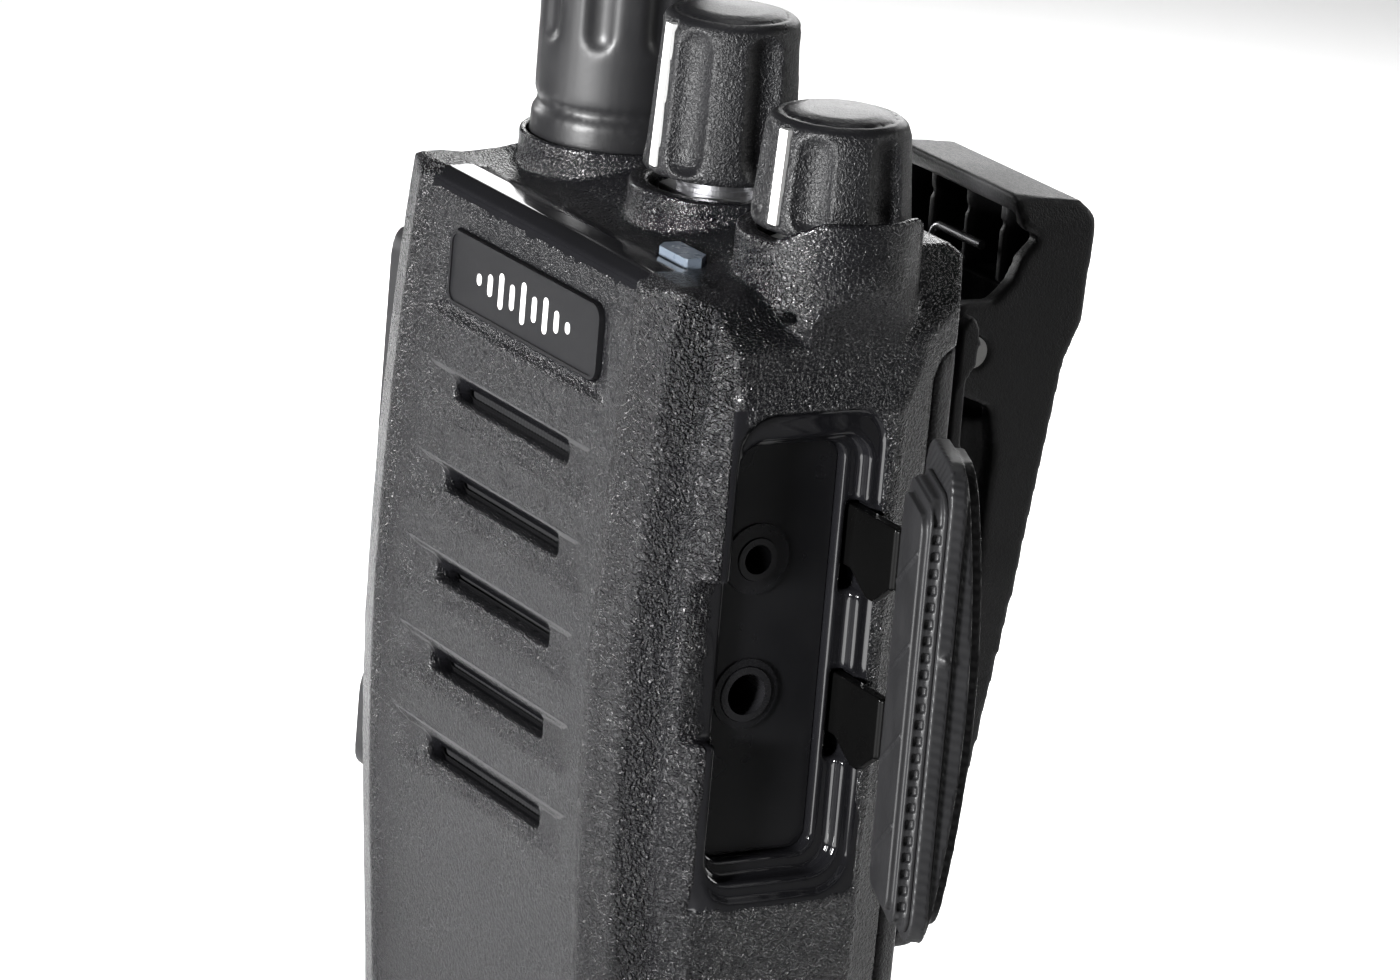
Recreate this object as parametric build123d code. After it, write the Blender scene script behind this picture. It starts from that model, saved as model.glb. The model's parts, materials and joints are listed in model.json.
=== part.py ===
from build123d import *
import math
import os

# Portable two-way radio, millimetres.
# Frame: +Z up, -Y is the speaker side, +X is the accessory jack side.
# The origin is the centre of the flat base that the radio stands on.

# ---------------------------------------------------------------- driving dimensions
half_width = 28.0          # widest point of the case
half_depth = 17.25         # case and battery together
case_top = 109.0           # front ledge of the top face
case_rear = 8.45           # parting plane between the case and the battery
chassis_front = 5.8
chassis_back = 7.7
wall = 1.8                 # moulded wall thickness
gap = 0.3                  # clearance round parts that move
skin = 0.1                 # clearance round parts that are only placed

battery_top = 102.6
contact_columns = (-7, 0, 7)
contact_z = 23.0
bow_height = 74.5          # height where the front face stands furthest forward
bow_radius = 300.0
bow_ease = 25.0            # the bow runs out into an upright line over this height

slot_pitch = 7.91          # loudspeaker louvres
slot_count = 5
slot_half = 9.9
slot_height = 2.5
nameplate_z = 101.2
top_slot_z = 91.55         # middle of the highest slot
valley_half = 17.3

antenna_at = (-14.8, 0.3)
channel_at = (3.4, 0.2)
volume_at = (21.2, 0.2)
knob_bottom = 112.7
channel_knob_height = 13.6
volume_knob_height = 9.4
knob_radius = 6.5
shaft_radius = 3.0
marker_turn = 12.0         # the volume marker rests this far from the front, degrees
bushing_radius = 3.5
well_radius = 5.9          # room for the nut inside a knob's collar
volume_collar_radius = 7.6
volume_collar_rise = 3.3   # above the front ledge of the top face
backing_x = 24.6           # the case is solid from here out, beside the volume control

jack_y = -6.2
small_jack_z = 86.0        # 2.5 mm jack
jack_spacing = 11.5        # standard two-pin accessory spacing
large_jack_z = small_jack_z - jack_spacing
small_jack_bore = 1.25
large_jack_bore = 1.75
plate_x = 24.8             # outer face of the jack plate

recess_front = -10.3
recess_rear = 3.5
recess_bottom = 57.4
recess_top = 99.0

cover_open = 68.0          # the cover rests this far open, degrees
cover_pull = 7.6           # the tether rests pulled out this far
tether_length = 11.0
cover_hinge = (plate_x + 1.3, 2.1)   # hinge line at the tether's end, cover shut

clip_pin_y = half_depth + 4.7
clip_pin_z = 97.6
clip_half = 11.0
clip_pin_radius = 1.4

ptt_middle = 88.0
ptt_length = 24.0
key_middles = (67.5, 55.5)
key_length = 9.4
button_width = 9.0
button_y = -8.3


# ---------------------------------------------------------------- small helpers
def save(name, *pieces):
    """Write one named node; several pieces stay separate solids."""
    solids = []
    for piece in pieces:
        solids.extend(piece.solids())
    for solid in solids:
        solid.label = name
    node = solids[0] if len(solids) == 1 else Compound(children=solids)
    node.label = name
    export_step(node, f"parts/{name}.step")


def block(x0, x1, y0, y1, z0, z1):
    """A box between two corners."""
    middle = ((x0 + x1) / 2, (y0 + y1) / 2, (z0 + z1) / 2)
    return Pos(*middle) * Box(x1 - x0, y1 - y0, z1 - z0)


def post(at, radius, z0, z1):
    """An upright cylinder."""
    return Pos(at[0], at[1], (z0 + z1) / 2) * Cylinder(radius, z1 - z0)


def rod_x(y, z, radius, x0, x1):
    """A cylinder along X."""
    return Pos((x0 + x1) / 2, y, z) * Rot(0, 90, 0) * Cylinder(radius, x1 - x0)


def rod_y(x, z, radius, y0, y1):
    """A cylinder along Y."""
    return Pos(x, (y0 + y1) / 2, z) * Rot(90, 0, 0) * Cylinder(radius, y1 - y0)


def ring(at, outer, inner, z0, z1):
    """An upright tube."""
    return post(at, outer, z0, z1) - post(at, inner, z0 - 1, z1 + 1)


def pad_x(y0, y1, z0, z1, corner, x0, x1):
    """A plate with rounded corners that faces along X."""
    sketch = RectangleRounded(y1 - y0, z1 - z0, corner)
    plane = Plane((x0, (y0 + y1) / 2, (z0 + z1) / 2), x_dir=(0, 1, 0), z_dir=(1, 0, 0))
    return extrude(plane * sketch, x1 - x0)


def pad_y(x0, x1, z0, z1, corner, y0, y1):
    """A plate with rounded corners that faces along Y."""
    sketch = RectangleRounded(x1 - x0, z1 - z0, corner)
    plane = Plane(((x0 + x1) / 2, y0, (z0 + z1) / 2), x_dir=(-1, 0, 0), z_dir=(0, 1, 0))
    return extrude(plane * sketch, y1 - y0)


def side_prism(points, x0, x1):
    """Extrude an outline of (y, z) points along X."""
    face = make_face(Polyline(*[(x0, y, z) for y, z in points], close=True))
    return extrude(face, x1 - x0, dir=(1, 0, 0))


def front_prism(points, y0, y1):
    """Extrude an outline of (x, z) points along Y."""
    face = make_face(Polyline(*[(x, y0, z) for x, z in points], close=True))
    return extrude(face, y1 - y0, dir=(0, 1, 0))


def plan_prism(points, z0, z1):
    """Extrude an outline of (x, y) points along Z."""
    face = make_face(Polyline(*[(x, y, z0) for x, y in points], close=True))
    return extrude(face, z1 - z0, dir=(0, 0, 1))


def turned(at, points):
    """Revolve an (r, z) outline about an upright axis."""
    face = make_face(Polyline(*[(r, 0, z) for r, z in points], close=True))
    return Pos(at[0], at[1], 0) * revolve(face, Axis.Z)


# ---------------------------------------------------------------- outer form
def front_y(z):
    """How far forward the front face stands at a height."""
    bow_end = bow_height - 32
    if z >= bow_end:
        return -half_depth + (z - bow_height) ** 2 / (2 * bow_radius)
    start = -half_depth + (bow_end - bow_height) ** 2 / (2 * bow_radius)
    rise = (bow_height - bow_end) / bow_radius
    down = min(bow_end - z, bow_ease)
    return start + rise * down - rise * down ** 2 / (2 * bow_ease)


def width_at(z):
    """Half width of the case at a height: it narrows a little towards the base."""
    return half_width - 1.5 * (1 - z / case_top) ** 1.5 if z < case_top else half_width


def outline(z, inset=0.0):
    """Plan outline of the radio at a height, as one closed wire with soft ridges."""
    front = front_y(z) + inset
    wide = width_at(z) - inset
    deep = half_depth - inset
    ridge = wide - 9.0 + 0.4 * inset
    right = [
        (ridge - 1.4, front + 0.4),
        (ridge, front),
        (ridge + 3.7, front + 1.2),
        (ridge + 5.2, front + 4.2),
        (ridge + 6.1, front + 3.9),
        (wide - 0.7, front + 5.6),
        (wide, front + 7.6),
        (wide, 4.5),
        (wide - 3.0, 11.0),
        (wide - 11.0, deep - 1.4),
        (8.0, deep),
    ]
    if inset > 1:
        del right[3:5]             # the groove beside the bezel is only outside
    left = [(-x, y) for x, y in reversed(right)]
    return right + left


def body_loft(inset=0.0):
    """The radio's smooth upright form, drawn in by an inset."""
    sections = []
    for z in (0, 21, 42.5, 60, 78, 96, 114):
        wire = Polyline(*[(x, y, z) for x, y in outline(z, inset)], close=True)
        sections.append(make_face(wire))
    return loft(sections, ruled=False)


def bay(y0, corner=2.6):
    """Everything behind the parting plane and below the battery's top edge."""
    face = Plane.YZ * make_face(
        Polyline((y0, -5), (y0, battery_top), (30, battery_top), (30, -5), close=True)
    )
    near = face.vertices().sort_by(Axis.Z)[-2:].sort_by(Axis.Y)[0]
    return extrude(fillet(near, corner), 40, both=True)


def edge_form():
    """The space inside the sloping top face, its soft edges and the bevelled base."""
    side = Plane.YZ * make_face(
        Polyline(
            (-12.1, 0), (-20, 7.9), (-20, 104.0), (-16.4, 104.0), (-15.7, case_top - 1.6),
            (-14.0, case_top - 0.5), (-11.6, case_top - 0.5), (-9.6, case_top - 0.9),
            (-6.5, case_top - 0.6), (-2.0, case_top + 1.1), (half_depth - 4.5, case_top + 1.1),
            (half_depth + 1, case_top - 4.5), (half_depth + 1, 2.3), (half_depth - 1.3, 0),
            close=True,
        )
    )
    soft = [v for v in side.vertices() if v.Z > case_top - 2 and abs(v.Y) > 13]
    side = fillet(soft, 0.8)
    front = Plane.XZ * make_face(
        Polyline(
            (-25.2, 0), (-30, 4.8), (-30, 98), (-27.3, 103.4), (-24.6, 107.0), (-19, case_top + 1.6),
            (19, case_top + 1.6), (24.6, 107.0), (27.3, 103.4), (30, 98), (30, 4.8), (25.2, 0),
            close=True,
        )
    )
    corners = [v for v in front.vertices() if v.Z > 103]
    front = fillet(corners, 1.8)
    return extrude(side, 40, both=True) & extrude(front, 40, both=True)


def body_form():
    """The outer form that the case and the battery pack share."""
    return body_loft() & edge_form()


def hip_pocket(x_half, z_low, z_high, floor_half, floor_low, floor_high, depth):
    """A valley in the front face with four sloping sides."""
    middle = (z_low + z_high) / 2
    face = front_y(middle)
    reach = 0.6
    deep = face + depth
    near = face - reach
    grow = reach / depth
    side = side_prism(
        [
            (near, z_low - (floor_low - z_low) * grow),
            (deep, floor_low),
            (deep, floor_high),
            (near, z_high + (z_high - floor_high) * grow),
        ],
        -x_half - 2, x_half + 2,
    )
    wide = x_half + (x_half - floor_half) * grow
    plan = plan_prism(
        [(-wide, near), (-floor_half, deep), (floor_half, deep), (wide, near)],
        z_low - 2, z_high + 2,
    )
    return side & plan


def louvre_cuts():
    """Five shallow valleys, each with a sloping undercut that ends in a narrow slot."""
    cuts = []
    for number in range(slot_count):
        z = top_slot_z - number * slot_pitch
        low = z - slot_height / 2
        high = z + slot_height / 2
        cuts.append(hip_pocket(valley_half, low - 3.2, high + 1.1, 13.2, low, high - 0.6, 0.9))
        face = front_y(z)
        undercut = side_prism(
            [(face - 1, low), (face - 1, high + 0.5), (face + 0.3, high), (face + 2.3, low + 0.7),
             (face + 6, low + 0.7), (face + 6, low)],
            -slot_half, slot_half,
        )
        cuts.append(undercut)
    return cuts


def louvre_backing():
    """Extra wall behind the louvres, thick enough for the undercuts."""
    low = top_slot_z - (slot_count - 1) * slot_pitch - 4
    return block(-12.4, 12.4, -16.4, -14.0, low, top_slot_z + 3.4)


def nameplate_pocket():
    """A shallow framed bed with a deeper seat for the nameplate."""
    z = nameplate_z
    bed = hip_pocket(15.6, z - 4.5, z + 4.6, 13.6, z - 3.7, z + 3.7, 0.8)
    seat_front = front_y(z) - 1
    seat = pad_y(-12.9, 12.9, z - 3.3, z + 3.3, 1.3, seat_front, front_y(z) + 1.5)
    return [bed, seat]


def collars():
    """Raised rings round the antenna and the two knobs; the volume knob's rises to the side."""
    foot = case_top - 3
    high = case_top + volume_collar_rise
    x = volume_at[0]
    tube = ring(volume_at, volume_collar_radius, volume_collar_radius - 0.75, case_top, high + 2.3)
    rising = front_prism(
        [(x + 2.6, case_top), (x + 2.6, high), (x + 6.0, high + 2.3), (x + 9, high + 2.3),
         (x + 9, case_top)],
        -9, 9,
    )
    return [
        post(antenna_at, 7.9, foot, case_top + 2.3),
        post(channel_at, 7.5, foot, case_top + 2.6),
        post(volume_at, volume_collar_radius, foot, high),
        volume_foot(),
        tube & rising,
    ]


def volume_foot():
    """Cone that carries the volume knob's collar down into the corner of the case."""
    return Pos(volume_at[0], volume_at[1], case_top - 7) * Cone(5.2, volume_collar_radius, 8)


def top_holes():
    """Wells inside the collars and the holes of the bushings and the antenna bush."""
    low = case_top + 0.4
    high = case_top + 8
    under = case_top - 6
    return [
        post(antenna_at, 7.3, case_top + 0.9, high),
        post(antenna_at, 4.1, under, case_top + 2),
        post(channel_at, well_radius, low, high),
        post(channel_at, bushing_radius + 0.1, under, low + 1),
        post(volume_at, well_radius, low, case_top + volume_collar_rise + 0.01),
        post(volume_at, bushing_radius + 0.1, under, low + 1),
    ]


def light_pipe(grow=0.0, low=case_top - 4.5, high=case_top - 0.1):
    """A lozenge of clear plastic between the knobs."""
    x, y = 13.2, -8.6
    a, b, c = 2.6 + grow, 1.2 + grow, 0.9
    points = [
        (x - a, y - b + c), (x - a, y + b - 0.2), (x - a + 0.2, y + b), (x + a - c, y + b),
        (x + a, y + b - c), (x + a, y - b + 0.2), (x + a - 0.2, y - b), (x - a + c, y - b),
    ]
    return plan_prism(points, low, high)


def recess_steps():
    """The jack recess: a wide mouth and two ledges down to the plate, and the holes in its walls."""
    y0, y1 = recess_front, recess_rear
    z0, z1 = recess_bottom, recess_top
    finger_notch = block(25.7, 30, y0 - 2.9, y0 + 1, 71.2, 84.9)
    cuts = [
        pad_x(y0, y1, z0, z1, 3.2, 27.2, 32),
        pad_x(y0 + 0.4, y1 - 1.2, z0 + 1.6, z1 - 2.4, 2.4, 25.9, 28),
        pad_x(y0 + 0.9, y1 - 2.8, z0 + 3.2, z1 - 3.2, 1.6, plate_x - 1.3, 28),
        finger_notch,
        shoulder_hollow(),
    ]
    hinge_y = cover_hinge[1]
    for z in tether_heights():
        cuts.append(block(13, 29, hinge_y - 0.8, hinge_y + 0.8, z - 4.7, z + 2.9))
    for z in (small_jack_z, large_jack_z):
        cuts.append(block(15, 24, jack_y - 3.2, jack_y + 3.2, z - 3.5, z + 3.5))
    for z in (z1 + 1.6, z0 - 0.4):
        corner_nick = Pos(27.8, y0 - 1.3, z) * Sphere(1.5)
        cuts.append(corner_nick)
    return cuts


def shoulder_hollow():
    """A scoop in the side between the volume knob and the recess, behind the front bezel."""
    radius = 9.0
    scoop = Pos(half_width + radius - 1.1, 3.2, 103.3) * Rot(90, 0, 0) * Cylinder(radius, 28)
    return scoop


def tether_heights():
    """Heights of the two straps that hold the jack cover."""
    return (87.7, 73.3)


def button_window(middle, length, grow=0.0):
    """Outline of a side button, as a solid right through the wall."""
    y0 = button_y - button_width / 2 - grow
    y1 = button_y + button_width / 2 + grow
    z0 = middle - length / 2 - grow
    z1 = middle + length / 2 + grow
    return pad_x(y0, y1, z0, z1, 2.2 + grow, -32, -22)


def side_buttons():
    """Name, middle and length of each button on the left side."""
    return [
        ("ptt_button", ptt_middle, ptt_length),
        ("upper_side_key", key_middles[0], key_length),
        ("lower_side_key", key_middles[1], key_length),
    ]


def case_bosses():
    """Screw posts from the front wall to the chassis."""
    return [rod_y(x, z, 2.5, -14.5, 5.5) for x, z in boss_places()]


def corner_backing():
    """Thicker wall behind the sloping top corners, clear of the volume control."""
    low = battery_top + 0.8
    inner = 21.5
    return [
        block(-half_width, -inner, -12.5, 12.5, low, case_top),
        block(inner, half_width, -12.5, -4.65, low, case_top),
        block(inner, half_width, 5.05, 12.5, low, case_top),
        block(backing_x, half_width, -5, 5.5, low, case_top),
    ]


def foot_backing():
    """The outer part of the volume collar's foot, solid beside the volume control."""
    return volume_foot() & block(backing_x, half_width + 5, -9, 9, battery_top + 0.8, case_top)


def boss_places():
    """Where the four case screws stand."""
    return [(-21.2, 8), (21.2, 8), (-21.2, 44), (21.2, 44)]


def front_case():
    """The moulded case: front, sides, top and the block round the jack recess."""
    form = body_form()
    solid = form
    for piece in collars():
        solid = solid + piece
    ceiling = case_top - 2.2
    room = block(-40, 40, -40, chassis_front - skin, wall, ceiling)
    rear_room = block(-40, 40, -1, case_rear, wall, battery_top + 0.5)
    upper_room = block(-40, 40, 0, 40, battery_top + wall, ceiling)
    shell = solid - (body_loft(wall) & (room + rear_room + upper_room)) - bay(case_rear)
    lining = block(plate_x - 1.9, 27.6, recess_front - 0.9, recess_rear + 1.6,
                   recess_bottom - 1.4, recess_top + 1.4)
    shell = shell + (lining & form)
    for piece in case_bosses() + corner_backing() + [louvre_backing()]:
        shell = shell + (piece & form)
    shell = shell + foot_backing()
    for cut in louvre_cuts() + nameplate_pocket() + top_holes() + recess_steps():
        shell = shell - cut
    for _, middle, length in side_buttons():
        shell = shell - button_window(middle, length, gap)
    shell = shell - light_pipe(skin, case_top - 6, case_top + 4)
    for x, z in boss_places():
        shell = shell - rod_y(x, z, 0.85, -8, 6)
    shell = shell - rod_y(0, 26, 0.6, -20, -10)
    return max(shell.solids(), key=lambda s: s.volume)


# ---------------------------------------------------------------- front fittings
def nameplate():
    """A thin plate in its seat, with a raised rim line."""
    z = nameplate_z
    y = front_y(z)
    plate = pad_y(-12.8, 12.8, z - 3.2, z + 3.2, 1.2, y + 0.55, y + 1.4)
    rim = pad_y(-12.8, 12.8, z - 3.2, z + 3.2, 1.2, y + 0.4, y + 0.55)
    rim = rim - pad_y(-12.5, 12.5, z - 2.9, z + 2.9, 0.9, y + 0.3, y + 0.6)
    return plate + rim


def speaker_felt():
    """Dust cloth behind the louvres."""
    return pad_y(-11.6, 11.6, 57.4, 94.2, 2.0, -13.9, -13.5)


def speaker_frame():
    """Basket, rim and magnet."""
    z = top_slot_z - 2 * slot_pitch
    rim = rod_y(0, z, 16.2, -13.3, -12.2) - rod_y(0, z, 14.6, -14, -12)
    basket = Pos(0, -10.6, z) * Rot(-90, 0, 0) * Cone(16.0, 8.0, 3.2)
    hollow = Pos(0, -11.1, z) * Rot(-90, 0, 0) * Cone(14.6, 7.0, 3.2)
    magnet = rod_y(0, z, 7.9, -9.0, -6.0)
    return rim + (basket - hollow) + magnet


def speaker_cone():
    """Paper cone with a dust cap."""
    z = top_slot_z - 2 * slot_pitch
    outer = Pos(0, -11.6, z) * Rot(-90, 0, 0) * Cone(13.6, 5.4, 2.2)
    inner = Pos(0, -11.9, z) * Rot(-90, 0, 0) * Cone(13.2, 5.0, 2.2)
    cap = rod_y(0, z, 5.2, -10.9, -10.4)
    return (outer - inner) + cap


def microphone():
    """Electret capsule behind the hole in the lower front."""
    return rod_y(0, 26, 3.0, -10.9, -8.4)


# ---------------------------------------------------------------- inside
def chassis_slab(inset, y0, y1):
    """A slice of the room behind the board, drawn in from the case by an inset."""
    slab = block(-40, 40, y0, y1, wall + inset, battery_top + 0.5 - inset)
    return body_loft(wall + inset) & slab


def chassis():
    """Die-cast plate that closes the case behind and carries the board."""
    plate = chassis_slab(0.1, chassis_front, chassis_back)
    for x, z in boss_places():
        plate = plate - rod_y(x, z, 1.15, 5, 9)
    for x in contact_columns:
        plate = plate - rod_y(x, contact_z, 1.15, 5, 9)
    rib = block(-16, 16, chassis_front - 0.9, chassis_front, 88, 90.5)
    frame = block(-18, 18, chassis_back, chassis_back + 0.5, 30, 92)
    frame = frame - block(-16, 16, chassis_back - 0.1, chassis_back + 0.7, 32, 90)
    return plate + rib + frame - case_seal()


def case_seal():
    """Rubber cord in the joint round the chassis."""
    return chassis_slab(0.03, 6.3, 7.1) - chassis_slab(0.9, 6.2, 7.2)


def main_board():
    """Circuit board in front of the chassis."""
    board = block(-18.5, 18.5, 3.4, 4.6, 6, 87)
    shield = block(-13, 13, 1.2, 3.4, 30, 52)
    return board + shield


def case_screws():
    """Four screws through the chassis."""
    screws = []
    for x, z in boss_places():
        head = rod_y(x, z, 1.9, chassis_back + 0.05, case_rear - 0.05)
        shank = rod_y(x, z, 0.8, -2, 7.75)
        slot = block(x - 1.3, x + 1.3, 8.1, 8.5, z - 0.25, z + 0.25)
        screws.append(head + shank - slot)
    return screws


# ---------------------------------------------------------------- antenna
def antenna_sheath():
    """Rubber sleeve: a flared foot, a groove, a fluted grip and a slim whip."""
    z = case_top + 1.7
    tip = 205.0
    outline_points = [
        (0, z), (7.0, z), (7.1, z + 0.5), (7.0, z + 2.6), (6.5, z + 2.95), (6.5, z + 3.7),
        (6.85, z + 4.1), (6.95, z + 24), (5.0, z + 30), (4.1, tip - 3), (3.2, tip - 0.8),
        (1.6, tip), (0, tip),
    ]
    sheath = turned(antenna_at, outline_points)
    for number in range(8):
        groove = Rot(0, 0, 45 * number) * Pos(8.1, 0, 0) * (
            Cylinder(1.9, 15) + Pos(0, 0, -7.5) * Sphere(1.9)
        )
        sheath = sheath - Pos(antenna_at[0], antenna_at[1], z + 17.7) * groove
    return sheath - post(antenna_at, 2.5, z - 1, z + 40)


def antenna_stud():
    """Threaded core of the antenna, screwed into the bush."""
    core = post(antenna_at, 2.45, case_top, case_top + 38)
    return core + post(antenna_at, 2.9, case_top - 6.4, case_top + 0.9)


def antenna_bush():
    """Threaded brass bush fixed in the case."""
    flange = ring(antenna_at, 5.6, 2.95, case_top - 3.4, case_top - 2.3)
    barrel = ring(antenna_at, 4.0, 2.95, case_top - 7.0, case_top + 0.5)
    return flange + barrel


def antenna_seal():
    """O-ring between the antenna foot and the collar."""
    return Pos(antenna_at[0], antenna_at[1], case_top + 1.3) * Torus(4.9, 0.4)


# ---------------------------------------------------------------- knobs and their controls
def knob(at, height, mid_radius):
    """A tapered cap with six flutes, a domed top and a slot for the marker."""
    z = knob_bottom
    top = z + height
    shoulder = top - 1.5
    outer = turned(at, [
        (0, z + 1), (3.2, z + 1), (3.2, z), (knob_radius - 0.2, z), (knob_radius, z + 0.5),
        (knob_radius, z + 1.2), (mid_radius, shoulder), (mid_radius - 0.35, top - 0.6),
        (mid_radius - 1.0, top - 0.15), (mid_radius - 1.4, top - 0.35),
        (mid_radius - 1.6, top - 0.05), (mid_radius - 2.6, top + 0.2), (0, top + 0.35),
    ])
    for number in range(6):
        lean = math.degrees(math.atan2(knob_radius - mid_radius, height))
        flute = Cylinder(2.4, height - 4.9)
        for end in (-1, 1):
            flute = flute + Pos(0, 0, end * (height - 4.9) / 2) * Sphere(2.4)
        cutter = Pos(mid_radius + 1.75, 0, z + height / 2 - 0.1) * Rot(0, -lean, 0) * flute
        turn = Rot(0, 0, -60 + 60 * number)
        outer = outer - Pos(at[0], at[1], 0) * turn * cutter
    bore = post(at, shaft_radius + skin, z - 1, z + height - 2.6)
    skirt = ring(at, 4.9, 3.9, z - 1, z + height - 3.2)
    return outer - bore - skirt - marker(at, height, mid_radius, skin)


def marker(at, height, mid_radius, grow=0.0):
    """White index line let into the knob, facing the front."""
    z = knob_bottom
    lean = math.degrees(math.atan2(knob_radius - mid_radius, height))
    half = (height - 1.6) / 2
    strip = block(-0.48 - grow, 0.48 + grow, -0.5, 0.5 + grow, -half - grow, half + grow)
    middle = (knob_radius + mid_radius) / 2
    place = Pos(at[0], at[1] - middle + 0.42, z + height / 2 - 0.15)
    return place * Rot(-lean, 0, 0) * strip


def shaft(at, low, high):
    """Control shaft with its flat."""
    rod = post(at, shaft_radius, low, high)
    flat = block(at[0] - 4, at[0] + 4, at[1] + 1.6, at[1] + 4, high - 5.5, high + 1)
    return rod - flat


def control(at, body_size, low):
    """Rotary control: square body, threaded bushing and terminals."""
    wide, deep = body_size
    high = case_top - 2.5
    body = block(at[0] - wide / 2, at[0] + wide / 2, at[1] - deep / 2, at[1] + deep / 2, low, high)
    bushing = post(at, bushing_radius, high, case_top + 2.6)
    hollow = post(at, shaft_radius + 0.05, low + 1.2, case_top + 4)
    return body + bushing - hollow


def control_nut(at):
    """Hexagon nut on a bushing."""
    plate = extrude(Pos(at[0], at[1], case_top + 0.95) * RegularPolygon(4.9, 6), 1.3)
    return plate - post(at, bushing_radius + 0.02, case_top, case_top + 4)


def control_seal(at):
    """Flat rubber washer under a nut."""
    return ring(at, 5.2, bushing_radius + 0.05, case_top + 0.42, case_top + 0.93)


# ---------------------------------------------------------------- side buttons
def side_button(middle, length):
    """A crowned button with a retaining flange inside the case."""
    raw = button_window(middle, length)
    y0 = button_y - button_width / 2
    y1 = button_y + button_width / 2
    crown = plan_prism(
        [(-24.9, y0 - 1), (-27.3, y0 - 1), (-29.2, y0 + 0.9), (-29.9, y0 + 2.6),
         (-29.9, y1 - 3.4), (-28.6, y1 + 0.6), (-24.9, y1 + 1)],
        middle - length / 2 - 1, middle + length / 2 + 1,
    )
    return raw & crown


def button_membrane():
    """Rubber sheet that seals the three buttons, with a nub behind each."""
    sheet = block(-23.5, -23.0, button_y - 1.9, button_y + 3.9, 50.2, 99.8)
    for _, middle, _ in side_buttons():
        sheet = sheet + rod_x(button_y, middle, 1.2, -24.0, -23.5)
    return sheet


def button_switch(middle):
    """Tactile switch under a button."""
    body = block(-22.3, -20.3, button_y - 2.2, button_y + 2.2, middle - 2.2, middle + 2.2)
    return body + rod_x(button_y, middle, 1.0, -22.9, -22.3)


def switch_board():
    """Strip of circuit board that carries the three switches."""
    return block(-20.2, -19.4, button_y - 3.2, button_y + 3.2, 50.5, 100)


# ---------------------------------------------------------------- accessory jacks and cover
def jack_plate():
    """Flat plate at the bottom of the recess, with a stepped ring round each jack."""
    y0 = recess_front + 1.0
    y1 = recess_rear - 2.9
    plate = pad_x(y0, y1, recess_bottom + 3.3, recess_top - 3.3, 1.5, plate_x - 1.2, plate_x)
    for z in (small_jack_z, large_jack_z):
        plate = plate + rod_x(jack_y, z, 3.0, plate_x, plate_x + 0.2)
    plate = plate - rod_x(jack_y, small_jack_z, 1.86, 20, 30)
    return plate - rod_x(jack_y, large_jack_z, 2.39, 20, 30)


def jack(z, bore, lip, length):
    """Jack socket: a round nose in the plate and a square body behind."""
    nose = rod_x(jack_y, z, lip - 0.06, plate_x - 1.3, plate_x + 0.35)
    body = block(plate_x - length, plate_x - 1.3, jack_y - 2.9, jack_y + 2.9, z - 3.3, z + 3.3)
    return nose + body - rod_x(jack_y, z, bore, plate_x - length + 1.2, plate_x + 2)


def open_cover(piece):
    """Carry a cover piece from its shut place to the open rest place."""
    x, y = cover_hinge
    return Pos(x + cover_pull, y, 0) * Rot(0, 0, cover_open) * Pos(-x, -y, 0) * piece


def bowed(piece, face_x):
    """Trim a cover piece to the bow that its outer face has from top to bottom."""
    bow = 118.0
    middle = (recess_bottom + recess_top) / 2
    return piece & (Pos(face_x - bow, -3, middle) * Rot(90, 0, 0) * Cylinder(bow, 60))


def cover_shell():
    """Outer cap of the jack cover, bowed and bevelled, with a finger tongue and a moulding nub."""
    y0 = recess_front + 1.6
    y1 = recess_rear - gap
    z0 = recess_bottom + gap
    z1 = recess_top - gap
    rim = pad_x(y0, y1, z0 + 0.6, z1, 3.2, 27.4, 28.7)
    flange = pad_x(y0 + 0.5, y1, z0, z1 + 1.2, 3.6, 28.7, 33)
    flange = bowed(flange, 30.4)
    crown = bowed(pad_x(y0 + 2.1, y1 - 1.6, z0 + 1.6, z1 - 0.4, 2.6, 28.7, 33), 31.4)
    nub = Pos(28.2, y0, 83.0) * Sphere(0.45)
    return open_cover(rim + flange + crown + nub)


def cover_seal():
    """Soft inner part of the cover: plug with ribs, lip, and a groove with beads between lips."""
    x, y = cover_hinge
    y0 = recess_front + 2.0
    y1 = recess_rear - 1.6
    z0 = recess_bottom + 1.9
    z1 = recess_top - 2.7
    pad = pad_x(y0, y1, z0, z1, 2.2, x + 0.9, 27.4)
    groove = pad_x(y0 + 0.5, y1 - 0.5, z0 + 0.5, z1 - 0.5, 1.8, x + 0.2, x + 0.9)
    lip = pad_x(y0 + 0.1, y1 - 0.1, z0 + 0.8, z1 - 0.8, 1.8, x - 0.1, x + 0.2)
    plug = pad_x(y0 + 0.6, y1 - 1.4, z0 + 1.9, z1 - 1.8, 1.4, x - 0.7, x - 0.1)
    body = pad + groove + lip + plug
    middle = (y0 + y1) / 2 - 0.4
    bead_pitch = 1.4
    for number in range(24):
        z = z0 + 2.0 + number * bead_pitch
        body = body + block(x + 0.25, x + 0.85, y0 + 0.15, y0 + 0.6, z - 0.3, z + 0.3)
    for number in range(4):
        rib = Pos(x - 0.7, middle, z0 + 7 + 7.6 * number) * Rot(-32, 0, 0) * Box(0.3, 9, 0.3)
        body = body + (rib & pad_x(y0 + 0.8, y1 - 1.6, z0 + 2.1, z1 - 2.0, 1.4, x - 1, x))
    hinge = post((x, y), 0.7, z0 - 1, z1 + 1)
    for z in tether_heights():
        body = body - (hinge & block(x - 2, x + 2, y - 2, y + 2, z - 3.1, z + 3.1))
    return open_cover(body)


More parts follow.
